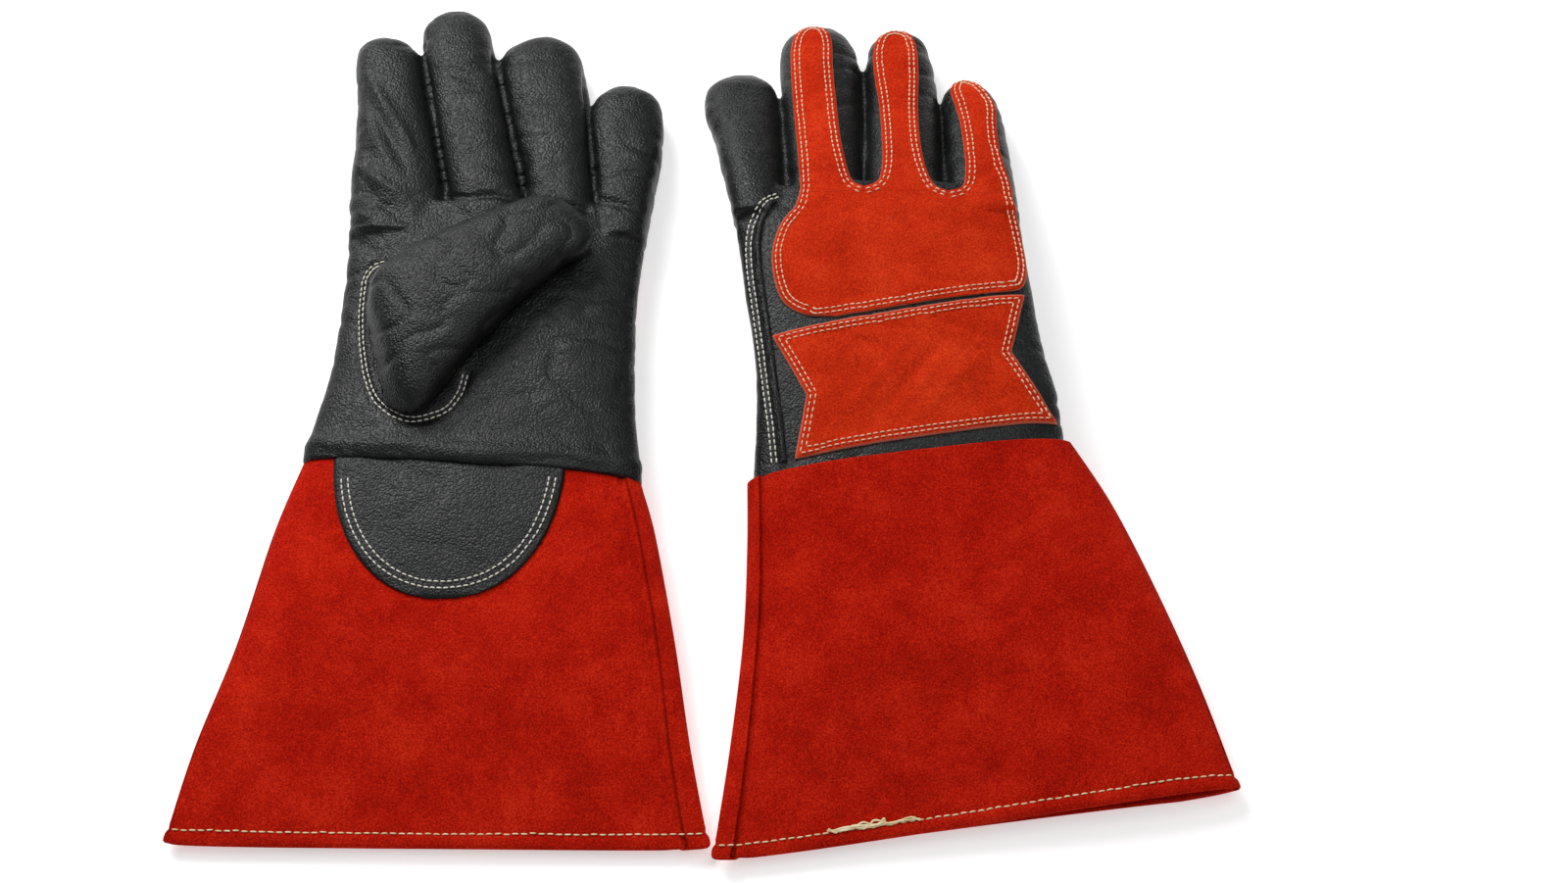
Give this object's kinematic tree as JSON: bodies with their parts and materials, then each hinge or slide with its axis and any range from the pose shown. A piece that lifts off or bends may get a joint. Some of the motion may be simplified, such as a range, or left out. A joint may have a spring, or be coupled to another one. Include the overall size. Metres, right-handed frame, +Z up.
{
  "type": "pair of leather welding gloves",
  "caption": "Pair of long gauntlet gloves in black grain leather and red suede, one lying palm up and one palm down, with curling fingers, opening thumbs and bending wrists.",
  "frame": {"origin": "centre of the pair's footprint, on the table it lies on", "axes": "+X across both gloves from the left glove to the right one, +Y from the cuffs to the fingertips, +Z up off the table"},
  "size_m": [0.4313, 0.3964, 0.0478],
  "materials": {
    "deep_red_suede": "suede split leather, fine nap, mottled",
    "orange_red_suede": "suede split leather patches with pale cut edges",
    "black_grain_leather": "pebbled grain leather, semi-gloss",
    "pale_thread": "waxed sewing thread",
    "cotton_lining": "plain cotton, grey"
  },
  "bodies": {
    "left_cuff": {"left_cuff_palm_panel": "deep_red_suede", "left_cuff_back_panel": "deep_red_suede", "left_cuff_lining": "cotton_lining", "left_cuff_hem_stitching": "pale_thread", "left_heel_patch": "black_grain_leather", "left_heel_patch_stitching": "pale_thread"},
    "left_hand": {"left_palm_panel": "black_grain_leather", "left_back_panel": "black_grain_leather", "left_hand_lining": "cotton_lining", "left_knuckle_patch": "orange_red_suede", "left_knuckle_patch_stitching": "pale_thread", "left_wrist_patch": "orange_red_suede", "left_wrist_patch_stitching": "pale_thread", "left_index_seam_stitching": "pale_thread", "left_index_seam_welt": "black_grain_leather", "left_thumb_stitching": "pale_thread"},
    "left_thumb": {"left_thumb_front": "black_grain_leather", "left_thumb_back": "black_grain_leather"},
    "left_index_finger": {"left_index_finger_front": "black_grain_leather", "left_index_finger_back": "black_grain_leather"},
    "left_middle_finger": {"left_middle_finger_front": "black_grain_leather", "left_middle_finger_back": "black_grain_leather", "left_middle_finger_strip": "orange_red_suede"},
    "left_ring_finger": {"left_ring_finger_front": "black_grain_leather", "left_ring_finger_back": "black_grain_leather", "left_ring_finger_strip": "orange_red_suede"},
    "left_little_finger": {"left_little_finger_front": "black_grain_leather", "left_little_finger_back": "black_grain_leather", "left_little_finger_strip": "orange_red_suede"},
    "right_cuff": {"right_cuff_palm_panel": "deep_red_suede", "right_cuff_back_panel": "deep_red_suede", "right_cuff_lining": "cotton_lining", "right_cuff_hem_stitching": "pale_thread", "right_heel_patch": "black_grain_leather", "right_heel_patch_stitching": "pale_thread"},
    "right_hand": {"right_palm_panel": "black_grain_leather", "right_back_panel": "black_grain_leather", "right_hand_lining": "cotton_lining", "right_knuckle_patch": "orange_red_suede", "right_knuckle_patch_stitching": "pale_thread", "right_wrist_patch": "orange_red_suede", "right_wrist_patch_stitching": "pale_thread", "right_index_seam_stitching": "pale_thread", "right_index_seam_welt": "black_grain_leather", "right_thumb_stitching": "pale_thread"},
    "right_thumb": {"right_thumb_front": "black_grain_leather", "right_thumb_back": "black_grain_leather"},
    "right_index_finger": {"right_index_finger_front": "black_grain_leather", "right_index_finger_back": "black_grain_leather"},
    "right_middle_finger": {"right_middle_finger_front": "black_grain_leather", "right_middle_finger_back": "black_grain_leather", "right_middle_finger_strip": "orange_red_suede"},
    "right_ring_finger": {"right_ring_finger_front": "black_grain_leather", "right_ring_finger_back": "black_grain_leather", "right_ring_finger_strip": "orange_red_suede"},
    "right_little_finger": {"right_little_finger_front": "black_grain_leather", "right_little_finger_back": "black_grain_leather", "right_little_finger_strip": "orange_red_suede"}
  },
  "joints": [
    {"name": "left_wrist_bend", "type": "hinge", "parent": "left_cuff", "child": "left_hand", "pos_m": [-0.1, -0.0311, 0.0282], "axis": [0.9979, -0.0645, 0], "range_deg": [0, 60]},
    {"name": "left_index_curl", "type": "hinge", "parent": "left_hand", "child": "left_index_finger", "pos_m": [-0.1387, 0.0957, 0.0252], "axis": [0.9799, 0.1994, 0], "range_deg": [0, 70]},
    {"name": "left_middle_curl", "type": "hinge", "parent": "left_hand", "child": "left_middle_finger", "pos_m": [-0.0985, 0.0967, 0.0252], "axis": [0.9781, 0.2079, 0], "range_deg": [0, 70]},
    {"name": "left_ring_curl", "type": "hinge", "parent": "left_hand", "child": "left_ring_finger", "pos_m": [-0.0655, 0.0967, 0.0252], "axis": [0.9877, 0.1564, 0], "range_deg": [0, 70]},
    {"name": "left_little_curl", "type": "hinge", "parent": "left_hand", "child": "left_little_finger", "pos_m": [-0.0375, 0.0957, 0.0252], "axis": [1, 0, 0], "range_deg": [0, 70]},
    {"name": "left_thumb_open", "type": "hinge", "parent": "left_hand", "child": "left_thumb", "pos_m": [-0.148, 0.04, 0.0283], "axis": [0.1275, -0.9918, 0], "range_deg": [0, 95]},
    {"name": "right_wrist_bend", "type": "hinge", "parent": "right_cuff", "child": "right_hand", "pos_m": [0.0865, -0.0325, 0.0453], "axis": [0.9905, 0.1374, 0], "range_deg": [0, 45]},
    {"name": "right_index_curl", "type": "hinge", "parent": "right_hand", "child": "right_index_finger", "pos_m": [0.021, 0.0954, 0.0182], "axis": [-0.9997, -0.0262, 0], "range_deg": [0, 70]},
    {"name": "right_middle_curl", "type": "hinge", "parent": "right_hand", "child": "right_middle_finger", "pos_m": [0.051, 0.0954, 0.0182], "axis": [-1, 0, 0], "range_deg": [0, 70]},
    {"name": "right_ring_curl", "type": "hinge", "parent": "right_hand", "child": "right_ring_finger", "pos_m": [0.0853, 0.0954, 0.0182], "axis": [-1, 0, 0], "range_deg": [0, 70]},
    {"name": "right_little_curl", "type": "hinge", "parent": "right_hand", "child": "right_little_finger", "pos_m": [0.1195, 0.0954, 0.0182], "axis": [-1, 0, 0], "range_deg": [0, 70]},
    {"name": "right_thumb_open", "type": "hinge", "parent": "right_hand", "child": "right_thumb", "pos_m": [0.02798, 0.03012, 0.0197], "axis": [-0.2811, 0.9597, 0], "range_deg": [0, 95]},
    {"name": "right_glove_lift", "type": "slide", "parent": "left_cuff", "child": "right_cuff", "axis": [0, 0, 1], "range_m": [0, 0.2]}
  ]
}
